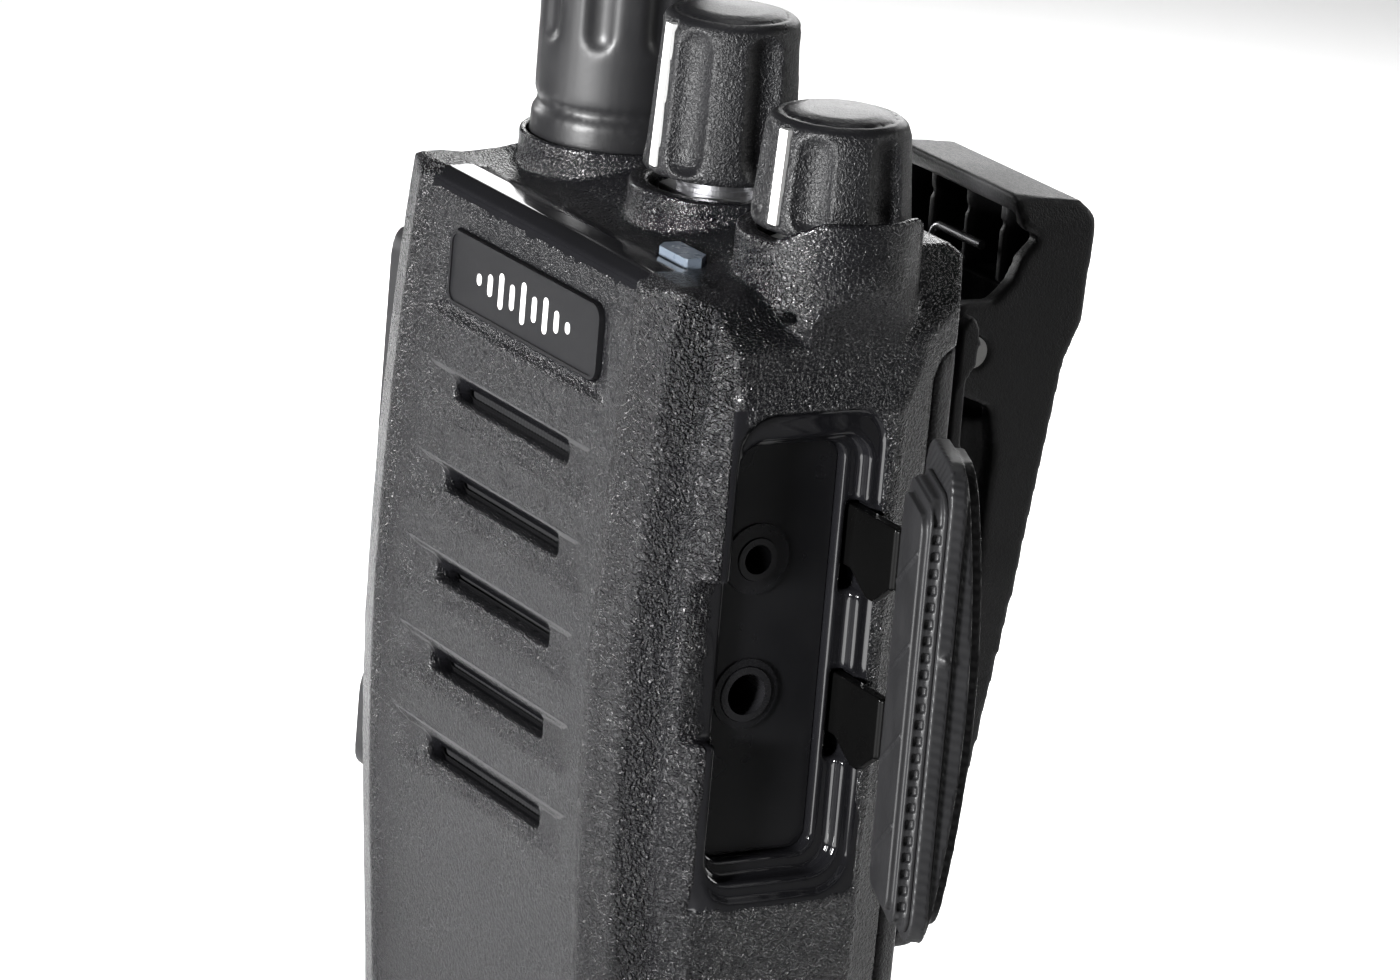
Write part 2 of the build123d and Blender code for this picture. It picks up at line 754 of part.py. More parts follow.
def tether(z):
    """One rubber strap, pulled out, with a gusset below, a thin neck and a bead at the hinge."""
    x, y = cover_hinge
    far = x + cover_pull
    strap = block(far - tether_length, far - 0.75, y - 0.5, y + 0.5, z - 2.6, z + 2.6)
    gusset = front_prism(
        [(far - 7.2, z - 2.5), (far - 4.4, z - 4.3), (far - 3.4, z - 4.3), (far - 1.0, z - 2.5)],
        y - 0.5, y + 0.5,
    )
    neck = block(far - 0.8, far, y - 0.2, y + 0.2, z - 2.5, z + 2.5)
    return strap + gusset + neck + post((far, y), 0.4, z - 2.5, z + 2.5)


def tether_bar():
    """Bar inside the case that joins the two straps and stops them pulling out."""
    x, y = cover_hinge
    far = x + cover_pull - tether_length
    low = min(tether_heights()) - 3.5
    high = max(tether_heights()) + 3.5
    return block(far - 0.8, far, y - 0.6, y + 0.6, low, high)


def cover_tether():
    """Both straps and their bar, moulded in one."""
    piece = tether_bar()
    for z in tether_heights():
        piece = piece + tether(z)
    return piece


# ---------------------------------------------------------------- battery
def battery_form():
    """Outer form of the battery pack."""
    return body_form() & bay(case_rear + skin)


def latch_room(grow=0.0):
    """Pocket of the latch in the bottom of the pack."""
    return block(-8 - grow, 8 + grow, case_rear - 1, half_depth - 2.2 + grow, -1, 3.0 + grow)


def battery_case():
    """The pack's moulded tub, open towards the radio."""
    form = battery_form()
    cells = block(-22.6, 22.6, case_rear, half_depth - wall, 5.2, battery_top - 2.2)
    narrow = body_loft(1.5)
    tub = form - (cells & narrow) - latch_room()
    lid = pad_y(-20.3, 20.3, 6.2, battery_top - 3.2, 1.5, case_rear, case_rear + 1.3)
    for x, z in clip_screw_places():
        tub = tub - rod_y(x, z, 1.0, 14.5, 20)
    return tub - lid


def battery_lid():
    """Flat cover of the pack, against the chassis."""
    lid = pad_y(-20.2, 20.2, 6.3, battery_top - 3.3, 1.4, case_rear + skin, case_rear + 1.2)
    for x in contact_columns:
        lid = lid - pad_y(x - 2.1, x + 2.1, contact_z - 4, contact_z + 4, 0.6,
                          case_rear, case_rear + 0.5)
    return lid


def battery_pads():
    """Three gilt pads on the pack."""
    return [
        pad_y(x - 2, x + 2, contact_z - 3.9, contact_z + 3.9, 0.5, case_rear + 0.2, case_rear + 0.5)
        for x in contact_columns
    ]


def battery_cells():
    """Two flat lithium cells side by side."""
    return [
        pad_y(x0, x0 + 16.4, 9.0, 92.0, 1.8, case_rear + 1.4, half_depth - 4.5)
        for x0 in (-16.8, 0.4)
    ]


def contact_springs():
    """Three sprung pins on the chassis that press on the pads."""
    pins = []
    for x in contact_columns:
        pin = rod_y(x, contact_z, 1.1, 4.7, case_rear + 0.1)
        pins.append(pin - rod_y(x, contact_z, 0.4, 4, 6))
    return pins


def battery_latch():
    """Sliding catch under the pack, with a finger ridge and a tongue."""
    plate = block(-7.6, 7.6, 9.4, 12.9, 0.7, 2.7)
    tongue = block(-5, 5, 8.0, 9.4, 1.9, 2.6)
    grip = block(-5, 5, 10.2, 10.8, 0.2, 0.7) + block(-5, 5, 11.4, 12.0, 0.2, 0.7)
    return plate + tongue + grip


# ---------------------------------------------------------------- belt clip
def clip_screw_places():
    """The two screws of the clip bracket."""
    return [(-5.5, 83.0), (5.5, 83.0)]


def clip_bracket():
    """Foot on the pack, two ears on the pin and two outer guards."""
    y = half_depth + skin
    foot = pad_y(-12.4, 12.4, 77.5, 90.5, 1.5, y, y + 1.8)
    bracket = foot
    for side in (-1, 1):
        ear = side_prism(
            [(y + 1.0, 86), (y + 1.0, 95), (clip_pin_y - 2.2, clip_pin_z + 2.4),
             (clip_pin_y + 2.2, clip_pin_z + 2.4), (clip_pin_y + 2.2, clip_pin_z - 2.2), (y + 3.0, 86)],
            side * 7.2 - 0.8, side * 7.2 + 0.8,
        )
        guard = side_prism(
            [(y + 1.7, 86), (y + 2.4, 100.4), (y + 3.0, 101.4), (y + 3.8, 100.9), (y + 4.3, 99.0),
             (y + 4.0, 96.9), (y + 3.2, 95.6), (y + 3.4, 88), (y + 1.8, 86)],
            side * 11.95 - 0.65, side * 11.95 + 0.65,
        )
        web = block(min(side * 11.3, side * 12.6), max(side * 11.3, side * 12.6),
                    y, y + 2.6, 79, 88)
        bracket = bracket + ear + guard + web
    bracket = bracket - rod_x(clip_pin_y, clip_pin_z, clip_pin_radius + 0.02, -10, 10)
    for x, z in clip_screw_places():
        bracket = bracket - rod_y(x, z, 1.3, 15, 20) - rod_y(x, z, 2.3, y + 0.9, 22)
    return bracket


def clip_screws():
    """Two countersunk-style screws of the bracket."""
    screws = []
    y = half_depth + skin
    for x, z in clip_screw_places():
        head = rod_y(x, z, 2.2, y + 0.95, y + 1.9)
        screws.append(head + rod_y(x, z, 0.95, 14.8, y + 0.95)
                      - block(x - 1.4, x + 1.4, y + 1.6, y + 2, z - 0.25, z + 0.25))
    return screws


def clip_profile():
    """Side outline of the lever, as (y, z) points."""
    return [
        (25.2, 110.9), (31.8, 110.1), (33.0, 109.0), (33.2, 107.6), (32.7, 99.6), (31.3, 96.2),
        (29.0, 79.7), (25.8, 52.0), (25.0, 44.4), (24.2, 42.6), (22.4, 42.3), (21.9, 43.6),
        (22.2, 47.0), (24.0, 66.0), (25.0, 89.0), (24.2, 92.6), (20.4, 94.2), (20.0, 95.2),
        (19.9, 101.5), (20.6, 102.0), (23.6, 101.9), (25.4, 103.6), (26.2, 105.6), (27.7, 107.2),
        (26.3, 107.9), (25.9, 108.6),
    ]


def belt_clip():
    """Spring-loaded lever: hollow ribbed press end, side cheeks and a thin blade."""
    lever = side_prism(clip_profile(), -clip_half, clip_half)
    hub_room = block(-9.3, 9.3, 18, 29.4, 90.6, 101.8)
    press_room = block(-9.3, 9.3, 20, 31.0, 101.0, 109.2)
    lever = lever - hub_room - press_room
    for x in (-5.6, 0, 5.6):
        lever = lever + (block(x - 0.5, x + 0.5, 27.2, 31.4, 102.0, 109.6)
                         & side_prism(clip_profile(), -clip_half, clip_half))
    for side in (-1, 1):
        rail = side_prism(
            [(25.4, 91.0), (22.6, 91.6), (22.2, 90.4), (23.4, 72.6), (24.6, 71.4), (25.4, 71.6)],
            side * 8.6 - 0.9, side * 8.6 + 0.9,
        )
        lever = lever + rail
    lever = lever - rod_x(clip_pin_y, clip_pin_z, clip_pin_radius + 0.05, -15, 15)
    slim = front_prism(
        [(-8.5, 111.4), (-clip_half + 0.8, 110.4), (-clip_half, 108.2), (-clip_half - 1, 92),
         (-8.8, 46), (-6.6, 42.8), (-4, 41.5), (4, 41.5), (6.6, 42.8), (8.8, 46),
         (clip_half + 1, 92), (clip_half, 108.2), (clip_half - 0.8, 110.4), (8.5, 111.4)],
        15, 40,
    )
    return lever & slim


def clip_pin():
    """Steel hinge pin of the clip."""
    return rod_x(clip_pin_y, clip_pin_z, clip_pin_radius, -10.95, 10.95)


def clip_spring():
    """Torsion spring round the pin: a coil, one bent leg up and one leg down."""
    wire = 0.4
    radius = 2.3
    turns = 4.5
    pitch = 1.0
    side = pitch * turns / 2
    coil = Helix(pitch, pitch * turns, radius)
    coil = sweep(Plane(coil @ 0, z_dir=coil % 0) * Circle(wire), coil, is_frenet=True)
    coil = Pos(-side, clip_pin_y, clip_pin_z) * Rot(90, 0, 0) * Rot(0, 90, 0) * coil
    up = FilletPolyline(
        (-side, clip_pin_y + radius, clip_pin_z), (-side, 25.6, 105.2), (5.2, 25.6, 105.2),
        radius=1.0,
    )
    upper_leg = sweep(Plane(up @ 0, z_dir=up % 0) * Circle(wire), up)
    lower_leg = Pos(side, clip_pin_y - radius + 0.1, clip_pin_z - 3.7) * Cylinder(wire, 7.4)
    return coil + upper_leg + lower_leg


def make_parts():
    """Every node by name, with its solid or solids."""
    parts = {
        "front_case": front_case(),
        "nameplate": nameplate(),
        "speaker_felt": speaker_felt(),
        "speaker_frame": speaker_frame(),
        "speaker_cone": speaker_cone(),
        "microphone": microphone(),
        "light_pipe": light_pipe(),
        "chassis": chassis(),
        "case_seal": case_seal(),
        "main_board": main_board(),
        "case_screws": case_screws(),
        "antenna_sheath": antenna_sheath(),
        "antenna_stud": antenna_stud(),
        "antenna_bush": antenna_bush(),
        "antenna_seal": antenna_seal(),
        "channel_knob": knob(channel_at, channel_knob_height, 5.9),
        "channel_marker": marker(channel_at, channel_knob_height, 5.9),
        "channel_shaft": shaft(channel_at, 102.0, knob_bottom + 9.8),
        "channel_switch": control(channel_at, (11.0, 9.6), 98.0),
        "volume_shaft": shaft(volume_at, 103.0, knob_bottom + 6.2),
        "volume_control": control(volume_at, (6.6, 9.6), 101.0),
        "control_nuts": [control_nut(channel_at), control_nut(volume_at)],
        "control_seals": [control_seal(channel_at), control_seal(volume_at)],
        "button_membrane": button_membrane(),
        "switch_board": switch_board(),
        "button_switches": [button_switch(middle) for _, middle, _ in side_buttons()],
        "jack_plate": jack_plate(),
        "small_jack": jack(small_jack_z, small_jack_bore, 1.86, 12.5),
        "large_jack": jack(large_jack_z, large_jack_bore, 2.39, 14.5),
        "cover_shell": cover_shell(),
        "cover_seal": cover_seal(),
        "cover_tether": cover_tether(),
        "battery_case": battery_case(),
        "battery_lid": battery_lid(),
        "battery_pads": battery_pads(),
        "battery_cells": battery_cells(),
        "contact_springs": contact_springs(),
        "battery_latch": battery_latch(),
        "clip_bracket": clip_bracket(),
        "clip_screws": clip_screws(),
        "belt_clip": belt_clip(),
        "clip_pin": clip_pin(),
        "clip_spring": clip_spring(),
    }
    swing = Pos(*volume_at, 0) * Rot(0, 0, marker_turn) * Pos(-volume_at[0], -volume_at[1], 0)
    parts["volume_knob"] = swing * knob(volume_at, volume_knob_height, 5.95)
    parts["volume_marker"] = swing * marker(volume_at, volume_knob_height, 5.95)
    for name, middle, length in side_buttons():
        parts[name] = side_button(middle, length)
    return parts


def main():
    """Write every node."""
    os.makedirs("parts", exist_ok=True)
    for name, shape in make_parts().items():
        pieces = shape if isinstance(shape, list) else [shape]
        save(name, *pieces)


if __name__ == "__main__":
    main()
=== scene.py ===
import math
import bpy
import bmesh
from mathutils import Vector, Matrix
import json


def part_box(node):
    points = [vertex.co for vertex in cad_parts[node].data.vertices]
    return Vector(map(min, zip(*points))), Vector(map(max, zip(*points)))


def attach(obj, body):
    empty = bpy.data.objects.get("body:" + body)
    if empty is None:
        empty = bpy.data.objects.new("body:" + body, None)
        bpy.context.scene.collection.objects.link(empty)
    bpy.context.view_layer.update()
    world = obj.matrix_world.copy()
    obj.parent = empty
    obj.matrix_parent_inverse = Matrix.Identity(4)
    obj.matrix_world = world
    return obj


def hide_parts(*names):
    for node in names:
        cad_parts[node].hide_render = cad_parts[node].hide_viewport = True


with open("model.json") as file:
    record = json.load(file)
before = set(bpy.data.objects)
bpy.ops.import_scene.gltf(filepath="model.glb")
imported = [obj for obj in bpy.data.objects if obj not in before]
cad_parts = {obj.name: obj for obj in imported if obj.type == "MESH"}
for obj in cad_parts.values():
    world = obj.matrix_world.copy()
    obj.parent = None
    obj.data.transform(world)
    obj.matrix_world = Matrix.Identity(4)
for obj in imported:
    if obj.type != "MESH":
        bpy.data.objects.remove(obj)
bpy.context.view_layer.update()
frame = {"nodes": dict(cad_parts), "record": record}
MM = 0.001
WAVE_PERIOD = 0.314        # a wave texture at scale 1 repeats after this distance
ALONG_X, ALONG_Y, ALONG_Z = 0, 1, 2


# ---------------------------------------------------------------- camera, light and floor
CAMERA_AZIMUTH = math.radians(58.60)
CAMERA_ELEVATION = math.radians(16.39)
CAMERA_ROLL = math.radians(4.95)
CAMERA_DISTANCE = 0.588
CAMERA_AIM = Vector((16.8, -7.2, 89.5)) * MM
LENS = 185.3


def make_camera():
    """The photograph's view: a long lens, above the jack side and tilted a little."""
    back = Vector((
        math.sin(CAMERA_AZIMUTH) * math.cos(CAMERA_ELEVATION),
        -math.cos(CAMERA_AZIMUTH) * math.cos(CAMERA_ELEVATION),
        math.sin(CAMERA_ELEVATION),
    ))
    right = (-back).cross(Vector((0, 0, 1))).normalized()
    up = right.cross(-back)
    tilted_right = math.cos(CAMERA_ROLL) * right + math.sin(CAMERA_ROLL) * up
    tilted_up = -math.sin(CAMERA_ROLL) * right + math.cos(CAMERA_ROLL) * up
    data = bpy.data.cameras.new("camera")
    data.lens = LENS
    data.clip_start = 0.05
    data.clip_end = 20
    camera = bpy.data.objects.new("camera", data)
    bpy.context.scene.collection.objects.link(camera)
    turn = Matrix((tilted_right, tilted_up, back)).transposed().to_4x4()
    camera.matrix_world = Matrix.Translation(CAMERA_AIM + CAMERA_DISTANCE * back) @ turn
    bpy.context.scene.camera = camera


def soft_box(name, place, size, watts, aim=Vector((0, 0, 0.09)), spread=180):
    """A rectangular studio lamp that the camera doesn't see; spread is its beam in degrees."""
    data = bpy.data.lights.new(name, "AREA")
    data.shape = "RECTANGLE"
    data.size = size[0]
    data.size_y = size[1]
    data.energy = watts
    data.spread = math.radians(spread)
    lamp = bpy.data.objects.new(name, data)
    bpy.context.scene.collection.objects.link(lamp)
    lamp.location = place
    lamp.rotation_euler = (aim - lamp.location).to_track_quat("-Z", "Y").to_euler()
    lamp.visible_camera = False


def make_studio():
    """Pale surroundings, six soft boxes and a pale floor."""
    scene = bpy.context.scene
    scene.view_settings.view_transform = "Standard"
    world = bpy.data.worlds.new("white room")
    scene.world = world
    world.use_nodes = True
    sky = world.node_tree.nodes["Background"]
    sky.inputs["Color"].default_value = (1.0, 1.0, 1.0, 1)
    sky.inputs["Strength"].default_value = 0.05
    soft_box("key", (0.30, -0.98, 0.24), (0.20, 0.16), 0.6, spread=24)
    # lies on the floor and shines up, where the bezels mirror the floor
    soft_box("front_floor", (0.05, -0.30, 0.003), (0.36, 0.36), 2.0, Vector((0.05, -0.30, 1)))
    soft_box("left", (-0.95, -0.30, 0.22), (0.12, 0.2), 0.035, spread=20)
    soft_box("behind_left", (-0.75, 0.65, 0.38), (0.6, 0.3), 3)
    soft_box("behind", (0.2, 1.05, 0.30), (0.3, 0.4), 0.7, spread=90)
    soft_box("backdrop", (-0.32, 0.22, 0.95), (0.15, 0.15), 1.5, Vector((-0.26, 0.165, 0)), 38)
    bpy.ops.mesh.primitive_plane_add(size=12, location=(0, 0, 0))
    floor = bpy.context.active_object
    floor.name = "floor"
    material, shader = new_material("pale floor")
    shader.inputs["Base Color"].default_value = (0.8, 0.8, 0.8, 1)
    shader.inputs["Roughness"].default_value = 0.7
    floor.data.materials.append(material)


# ---------------------------------------------------------------- shader pieces
def new_material(name):
    """An empty material with a principled shader."""
    material = bpy.data.materials.new(name)
    material.use_nodes = True
    return material, material.node_tree.nodes["Principled BSDF"]


def place_of(tree):
    """The point on the piece, in metres, that moves with it."""
    return tree.nodes.new("ShaderNodeTexCoord").outputs["Object"]


def stretched(tree, vector, scale):
    """A point scaled along each axis."""
    node = tree.nodes.new("ShaderNodeMapping")
    node.inputs["Scale"].default_value = scale
    tree.links.new(vector, node.inputs["Vector"])
    return node.outputs["Vector"]


def noise(tree, vector, cell, detail=2.0, rough=0.5, distortion=0.0):
    """Cloudy value with features about one cell across."""
    node = tree.nodes.new("ShaderNodeTexNoise")
    node.inputs["Scale"].default_value = 1 / cell
    node.inputs["Detail"].default_value = detail
    node.inputs["Roughness"].default_value = rough
    node.inputs["Distortion"].default_value = distortion
    tree.links.new(vector, node.inputs["Vector"])
    return node.outputs["Fac"]


def arithmetic(tree, operation, first, second):
    """One arithmetic step; either side may be a plain number."""
    node = tree.nodes.new("ShaderNodeMath")
    node.operation = operation
    for socket, value in zip(node.inputs, (first, second)):
        if isinstance(value, (int, float)):
            socket.default_value = value
        else:
            tree.links.new(value, socket)
    return node.outputs["Value"]


def remap(tree, value, low, high, to_low=0.0, to_high=1.0):
    """A value stretched from one range to another, with soft ends."""
    node = tree.nodes.new("ShaderNodeMapRange")
    node.interpolation_type = "SMOOTHSTEP"
    node.inputs["From Min"].default_value = low
    node.inputs["From Max"].default_value = high
    node.inputs["To Min"].default_value = to_low
    node.inputs["To Max"].default_value = to_high
    tree.links.new(value, node.inputs["Value"])
    return node.outputs["Result"]


def two_colours(tree, share, first, second):
    """A colour between two, by a share; a mix node has its sockets for colours last."""
    node = tree.nodes.new("ShaderNodeMix")
    node.data_type = "RGBA"
    factor, colour_a, colour_b = node.inputs[0], node.inputs[6], node.inputs[7]
    colour_a.default_value = (*first, 1)
    colour_b.default_value = (*second, 1)
    tree.links.new(share, factor)
    return node.outputs[2]


def raised(tree, height, depth):
    """A bump of a real depth in metres."""
    node = tree.nodes.new("ShaderNodeBump")
    node.inputs["Strength"].default_value = 1.0
    node.inputs["Distance"].default_value = depth
    tree.links.new(height, node.inputs["Height"])
    return node.outputs["Normal"]


def lighter(colour, times):
    """A colour made brighter, up to white; times below 1 makes it darker."""
    return tuple(min(1.0, part * times) for part in colour)


def worn_edges(tree):
    """Share of polish at convex edges, where hands rub."""
    pointed = tree.nodes.new("ShaderNodeNewGeometry").outputs["Pointiness"]
    return remap(tree, pointed, 0.52, 0.62)


# ---------------------------------------------------------------- materials
def grained_plastic(name, colour, cell, depth, rough, mask=True):
    """Moulded plastic with a leather grain; the mesh says where and how coarse the grain is."""
    material, shader = new_material(name)
    tree = material.node_tree
    point = place_of(tree)
    coarse = noise(tree, point, cell, 1.0, 0.5, 1.2)
    coarse = remap(tree, coarse, 0.36, 0.62)
    fine = remap(tree, noise(tree, point, cell * 0.55, 1.5, 0.5, 0.8), 0.34, 0.66)
    if mask:
        attribute = tree.nodes.new("ShaderNodeAttribute")
        attribute.attribute_name = "grain"
        share = attribute.outputs["Fac"]
        strong = remap(tree, share, 0.5, 1.0)
        some = remap(tree, share, 0.0, 0.5)
        smooth_rough = rough - 0.13
        roughness = remap(tree, some, 0.0, 1.0, smooth_rough, rough)
        faint = arithmetic(tree, "MULTIPLY", some, 0.45)
        height = arithmetic(tree, "ADD", arithmetic(tree, "MULTIPLY", coarse, strong),
                            arithmetic(tree, "MULTIPLY", fine, faint))
    else:
        roughness = remap(tree, coarse, 0.0, 1.0, rough - 0.03, rough + 0.05)
        height = arithmetic(tree, "ADD", arithmetic(tree, "MULTIPLY", coarse, 0.5), fine)
    blotch = noise(tree, point, 14 * MM, 3.0)
    uneven = remap(tree, blotch, 0.3, 0.7, -0.04, 0.05)
    varied = arithmetic(tree, "ADD", roughness, uneven)
    polish = arithmetic(tree, "MULTIPLY", worn_edges(tree), 0.1)
    tree.links.new(arithmetic(tree, "SUBTRACT", varied, polish), shader.inputs["Roughness"])
    tint = two_colours(tree, remap(tree, blotch, 0.3, 0.7), colour, lighter(colour, 1.3))
    tree.links.new(tint, shader.inputs["Base Color"])
    tree.links.new(raised(tree, height, depth), shader.inputs["Normal"])
    shader.inputs["Specular IOR Level"].default_value = 0.5
    return material


def hatched_rubber(name, colour, rough):
    """Satin rubber with fine slanted grip lines where the mesh asks for them."""
    material, shader = new_material(name)
    tree = material.node_tree
    point = place_of(tree)
    attribute = tree.nodes.new("ShaderNodeAttribute")
    attribute.attribute_name = "hatch"
    lines = tree.nodes.new("ShaderNodeTexWave")
    lines.bands_direction = "Z"
    lines.inputs["Scale"].default_value = WAVE_PERIOD / (0.7 * MM)
    lines.inputs["Distortion"].default_value = 0.4
    turn = tree.nodes.new("ShaderNodeMapping")
    slant = math.radians(28)
    turn.inputs["Rotation"].default_value = (slant, slant, 0)
    tree.links.new(point, turn.inputs["Vector"])
    tree.links.new(turn.outputs["Vector"], lines.inputs["Vector"])
    fine = noise(tree, point, 0.3 * MM, 2.0)
    grip = arithmetic(tree, "MULTIPLY", lines.outputs["Fac"], attribute.outputs["Fac"])
    height = arithmetic(tree, "ADD", grip, arithmetic(tree, "MULTIPLY", fine, 0.25))
    tree.links.new(raised(tree, height, 0.04 * MM), shader.inputs["Normal"])
    cloud = noise(tree, point, 5 * MM, 3.0)
    roughness = remap(tree, cloud, 0.3, 0.7, rough - 0.05, rough + 0.05)
    tree.links.new(roughness, shader.inputs["Roughness"])
    tint = two_colours(tree, cloud, colour, lighter(colour, 1.25))
    tree.links.new(tint, shader.inputs["Base Color"])
    return material


def satin(name, colour, rough, cell=0.35 * MM, depth=0.004 * MM, metallic=0.0, specular=0.5):
    """Smooth moulded, rubber or metal surface with faint unevenness."""
    material, shader = new_material(name)
    tree = material.node_tree
    point = place_of(tree)
    cloud = noise(tree, point, 6 * MM, 3.0)
    fine = noise(tree, point, cell, 3.0)
    roughness = remap(tree, cloud, 0.3, 0.7, rough - 0.04, rough + 0.05)
    polish = arithmetic(tree, "MULTIPLY", worn_edges(tree), 0.08)
    tree.links.new(arithmetic(tree, "SUBTRACT", roughness, polish), shader.inputs["Roughness"])
    tint = two_colours(tree, cloud, colour, lighter(colour, 1.15))
    tree.links.new(tint, shader.inputs["Base Color"])
    tree.links.new(raised(tree, fine, depth), shader.inputs["Normal"])
    shader.inputs["Metallic"].default_value = metallic
    shader.inputs["Specular IOR Level"].default_value = specular
    return material


def brushed(name, colour, rough, along):
    """Metal with fine lines along one axis."""
    material, shader = new_material(name)
    tree = material.node_tree
    scale = [1.0, 1.0, 1.0]
    scale[along] = 0.05
    point = stretched(tree, place_of(tree), scale)
    lines = noise(tree, point, 0.08 * MM, 4.0, 0.7)
    roughness = remap(tree, lines, 0.3, 0.7, rough - 0.06, rough + 0.1)
    tree.links.new(roughness, shader.inputs["Roughness"])
    tint = two_colours(tree, lines, lighter(colour, 0.8), colour)
    tree.links.new(tint, shader.inputs["Base Color"])
    tree.links.new(raised(tree, lines, 0.003 * MM), shader.inputs["Normal"])
    shader.inputs["Metallic"].default_value = 1.0
    return material


def frosted(name, colour):
    """Clear plastic light guide with a milky body."""
    material, shader = new_material(name)
    tree = material.node_tree
    point = place_of(tree)
    cloud = noise(tree, point, 1.6 * MM, 3.0)
    tint = two_colours(tree, cloud, colour, lighter(colour, 1.3))
    tree.links.new(tint, shader.inputs["Base Color"])
    tree.links.new(remap(tree, cloud, 0.3, 0.7, 0.25, 0.38), shader.inputs["Roughness"])
    fine = noise(tree, point, 0.25 * MM, 2.0)
    tree.links.new(raised(tree, fine, 0.006 * MM), shader.inputs["Normal"])
    shader.inputs["Subsurface Weight"].default_value = 0.3
    shader.inputs["Subsurface Radius"].default_value = (MM, MM, MM)
    return material


def cloth(name, colour):
    """Fine woven dust cloth."""
    material, shader = new_material(name)
    tree = material.node_tree
    point = place_of(tree)
    threads = []
    for direction in ("X", "Z"):
        node = tree.nodes.new("ShaderNodeTexWave")
        node.bands_direction = direction
        node.inputs["Scale"].default_value = 1 / (1.6 * MM)
        tree.links.new(point, node.inputs["Vector"])
        threads.append(node.outputs["Fac"])
    weave = arithmetic(tree, "MULTIPLY", threads[0], threads[1])
    tint = two_colours(tree, weave, colour, lighter(colour, 1.8))
    tree.links.new(tint, shader.inputs["Base Color"])
    tree.links.new(raised(tree, weave, 0.05 * MM), shader.inputs["Normal"])
    shader.inputs["Roughness"].default_value = 0.95
    return material


def black(level):
    """A nearly black plastic or rubber, a touch blue."""
    return (level, level, level + 0.001)


def make_plastics():
    """Moulded plastics and rubbers, by the slots that the record names."""
    return {
        "case_plastic": grained_plastic("case plastic", black(0.006), 0.50 * MM, 0.17 * MM, 0.22),
        "pack_plastic": grained_plastic("pack plastic", black(0.014), 0.45 * MM, 0.05 * MM, 0.45,
                                        mask=False),
        "knob_plastic": grained_plastic("knob plastic", black(0.006), 0.34 * MM, 0.05 * MM, 0.40),
        "clip_plastic": grained_plastic("clip plastic", black(0.016), 0.30 * MM, 0.012 * MM, 0.48,
                                        mask=False),
        "nameplate_plastic": satin("nameplate plastic", black(0.007), 0.5, specular=0.35),
        "marker_white": satin("marker white", (0.86, 0.86, 0.85), 0.4),
        "light_pipe_plastic": frosted("light pipe", (0.15, 0.18, 0.22)),
        "antenna_rubber": satin("antenna rubber", black(0.011), 0.42, 0.5 * MM, 0.01 * MM),
        "cover_rubber": hatched_rubber("cover rubber", black(0.013), 0.45),
        "strap_rubber": satin("strap rubber", (0.002, 0.002, 0.002), 0.3, specular=0.08),
        "button_rubber": satin("button rubber", black(0.014), 0.5, 0.4 * MM, 0.02 * MM),
        "seal_rubber": satin("seal rubber", (0.01, 0.01, 0.01), 0.55),
        "jack_plate_plastic": satin("jack plate plastic", black(0.007), 0.3, 0.3 * MM, 0.004 * MM,
                                    specular=0.35),
        "jack_plastic": satin("jack plastic", black(0.009), 0.28),
    }


def make_inner_finishes():
    """Metals, cloth, paper and the rest of what is inside, by slot."""
    return {
        "felt_cloth": cloth("felt cloth", black(0.006)),
        "magnet_steel": brushed("magnet steel", (0.55, 0.55, 0.56), 0.3, ALONG_X),
        "cone_paper": satin("cone paper", (0.05, 0.05, 0.05), 0.8, 0.6 * MM, 0.05 * MM),
        "capsule_aluminium": brushed("capsule aluminium", (0.7, 0.7, 0.72), 0.35, ALONG_Z),
        "chassis_metal": brushed("chassis metal", (0.6, 0.6, 0.61), 0.5, ALONG_X),
        "board_laminate": satin("board laminate", (0.02, 0.12, 0.06), 0.35, 0.5 * MM, 0.02 * MM),
        "screw_steel": brushed("screw steel", (0.45, 0.45, 0.46), 0.35, ALONG_Y),
        "pin_steel": brushed("pin steel", (0.72, 0.72, 0.70), 0.3, ALONG_Y),
        "spring_steel": brushed("spring steel", (0.35, 0.35, 0.36), 0.3, ALONG_X),
        "bush_brass": brushed("bush brass", (0.78, 0.62, 0.32), 0.3, ALONG_Z),
        "control_metal": brushed("control metal", (0.5, 0.5, 0.52), 0.35, ALONG_Z),
        "contact_gilt": brushed("contact gilt", (0.85, 0.68, 0.3), 0.25, ALONG_Y),
        "cell_wrap": satin("cell wrap", (0.3, 0.42, 0.55), 0.3, 0.5 * MM, 0.01 * MM,
                           metallic=0.6),
    }


# ---------------------------------------------------------------- rounded copies of CAD shapes
def slot_of(node):
    """The record's material slot of a node."""
    for part in frame["record"]["subparts"]:
        if part["node"] == node:
            return part["material_slot"]
    raise KeyError(node)


def body_with(node):
    """The body that a node rides on."""
    for body, nodes in frame["record"]["behaviour"]["bodies"].items():
        if node in nodes:
            return body
    raise KeyError(node)


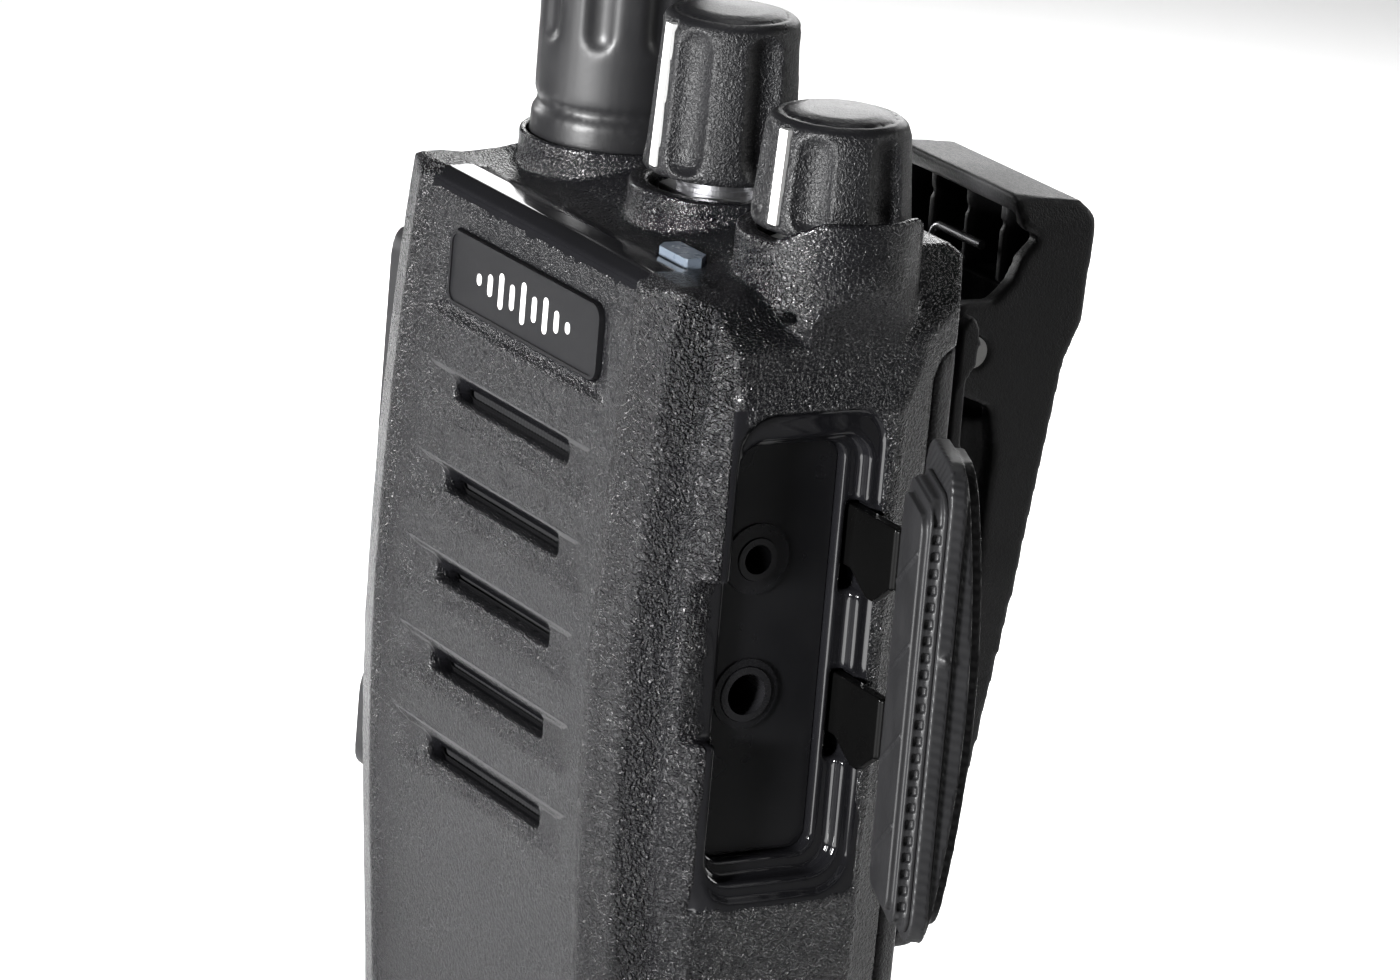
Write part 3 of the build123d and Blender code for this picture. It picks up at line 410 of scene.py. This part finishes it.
def rounded(node, name, voxel, smoothing, keep=1.0):
    """A moulded-looking copy of a CAD node: its corners rounded by remeshing and smoothing."""
    source = frame["nodes"][node]
    mesh = source.data.copy()
    piece = bpy.data.objects.new(name, mesh)
    bpy.context.scene.collection.objects.link(piece)
    mesh.materials.clear()
    remesh = piece.modifiers.new("remesh", "REMESH")
    remesh.mode = "VOXEL"
    remesh.voxel_size = voxel
    smooth = piece.modifiers.new("smooth", "SMOOTH")
    smooth.factor = 0.5
    smooth.iterations = smoothing
    if keep < 1:
        thin = piece.modifiers.new("thin", "DECIMATE")
        thin.ratio = keep
    graph = bpy.context.evaluated_depsgraph_get()
    final = bpy.data.meshes.new_from_object(piece.evaluated_get(graph))
    piece.modifiers.clear()
    piece.data = final
    final.name = name
    for polygon in final.polygons:
        polygon.use_smooth = True
    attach(piece, body_with(node))
    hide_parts(node)
    slot = slot_of(node)
    final.materials.append(finishes[slot])
    return piece


def paint(piece, name, share_at):
    """Store a value from 0 to 1 at each point of a mesh, for its material to read."""
    mesh = piece.data
    attribute = mesh.attributes.new(name, "FLOAT", "POINT")
    values = [share_at(vertex.co, vertex.normal) for vertex in mesh.vertices]
    attribute.data.foreach_set("value", values)


# for each moulded node: voxel size, smoothing passes and the share of faces kept
ROUNDED_NODES = {
    "front_case": (0.25 * MM, 5, 0.3),
    "battery_case": (0.5 * MM, 5, 0.5),
    "antenna_sheath": (0.4 * MM, 3, 1.0),
    "channel_knob": (0.2 * MM, 4, 1.0),
    "volume_knob": (0.2 * MM, 4, 1.0),
    "clip_bracket": (0.3 * MM, 3, 1.0),
    "belt_clip": (0.3 * MM, 4, 0.6),
    "cover_shell": (0.16 * MM, 4, 0.6),
    "cover_seal": (0.11 * MM, 2, 0.4),
    "cover_tether": (0.15 * MM, 3, 1.0),
    "ptt_button": (0.25 * MM, 4, 1.0),
    "upper_side_key": (0.2 * MM, 4, 1.0),
    "lower_side_key": (0.2 * MM, 4, 1.0),
}


def case_grain(point, normal):
    """Coarse grain on the bezels, finer on the panel and shoulders, little in the fittings."""
    x, y, z = (value / MM for value in point)
    on_collar = z > 109.9
    in_recess = 20 < x < 27.6 and -10.9 < y < 4.2 and 56.8 < z < 99.4
    on_panel = abs(x) < 17.6 and y < -10
    louvre_side = 57 < z < 95 and (normal.z < -0.25 or (x < -12 and normal.x > 0.25))
    below_panel_face = y > -15.2 and z > 57
    on_rear = y > 5
    on_top = z > 107.2
    on_shoulder = x > 24 and y > -11 and z > 98.5
    if on_collar:
        return 0.3
    if in_recess:
        return 0.0
    if on_panel and louvre_side:
        return 0.06
    if on_panel and below_panel_face:
        return 0.0
    if on_panel:
        return 0.52
    if on_rear:
        return 0.40
    if on_top:
        return 0.62
    if on_shoulder:
        return 0.55
    return 1.0


def knob_grain(point, normal):
    """Fine grain on the panels; the cap is smoother."""
    return 0.25 if normal.z > 0.45 else 0.9


def crown_hatch(point, normal):
    """Grip lines on the bevel round the cover's outer face."""
    return 1.0 if 0.25 < abs(normal.y) < 0.95 else 0.0


finishes = {**make_plastics(), **make_inner_finishes()}


def dress_nodes():
    """Give every CAD node that stays its material, and round the moulded ones."""
    for name, node in frame["nodes"].items():
        node.data.materials.clear()
        node.data.materials.append(finishes[slot_of(name)])
    pieces = {}
    for name, (voxel, smoothing, keep) in ROUNDED_NODES.items():
        pieces[name] = rounded(name, name + "_moulded", voxel, smoothing, keep)
    paint(pieces["front_case"], "grain", case_grain)
    paint(pieces["channel_knob"], "grain", knob_grain)
    paint(pieces["volume_knob"], "grain", knob_grain)
    paint(pieces["cover_shell"], "hatch", crown_hatch)


def rounded_bar(x, z, wide, tall):
    """Outline points of an upright bar with round ends."""
    radius = wide / 2
    steps = 8
    points = []
    for end in (1, -1):
        for step in range(steps + 1):
            angle = math.pi * step / steps
            points.append((x + end * radius * math.cos(angle),
                           z + end * (tall / 2 - radius + radius * math.sin(angle))))
    return points


def add_mark():
    """A plain printed mark on the nameplate: a row of upright bars like a sound level."""
    low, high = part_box("nameplate")
    rim_height = 0.15 * MM
    thickness = 0.05 * MM
    bar_width = 0.75 * MM
    pitch = 1.9 * MM
    front = low[1] + rim_height
    centre = (low[2] + high[2]) / 2
    heights = (1.0, 1.9, 3.1, 2.2, 3.6, 2.2, 3.1, 1.9, 1.0)
    shape = bmesh.new()
    for number, tall in enumerate(heights):
        x = (number - (len(heights) - 1) / 2) * pitch
        outline = rounded_bar(x, centre, bar_width, tall * MM)
        face = shape.faces.new([shape.verts.new((px, front, pz)) for px, pz in outline])
        grown = bmesh.ops.extrude_face_region(shape, geom=[face])
        moved = [item for item in grown["geom"] if isinstance(item, bmesh.types.BMVert)]
        bmesh.ops.translate(shape, verts=moved, vec=(0, -thickness, 0))
    bmesh.ops.recalc_face_normals(shape, faces=shape.faces)
    mesh = bpy.data.meshes.new("nameplate_mark")
    shape.to_mesh(mesh)
    shape.free()
    mark = bpy.data.objects.new("nameplate_mark", mesh)
    bpy.context.scene.collection.objects.link(mark)
    mesh.materials.append(finishes["marker_white"])
    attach(mark, "radio")


make_camera()
make_studio()
dress_nodes()
add_mark()
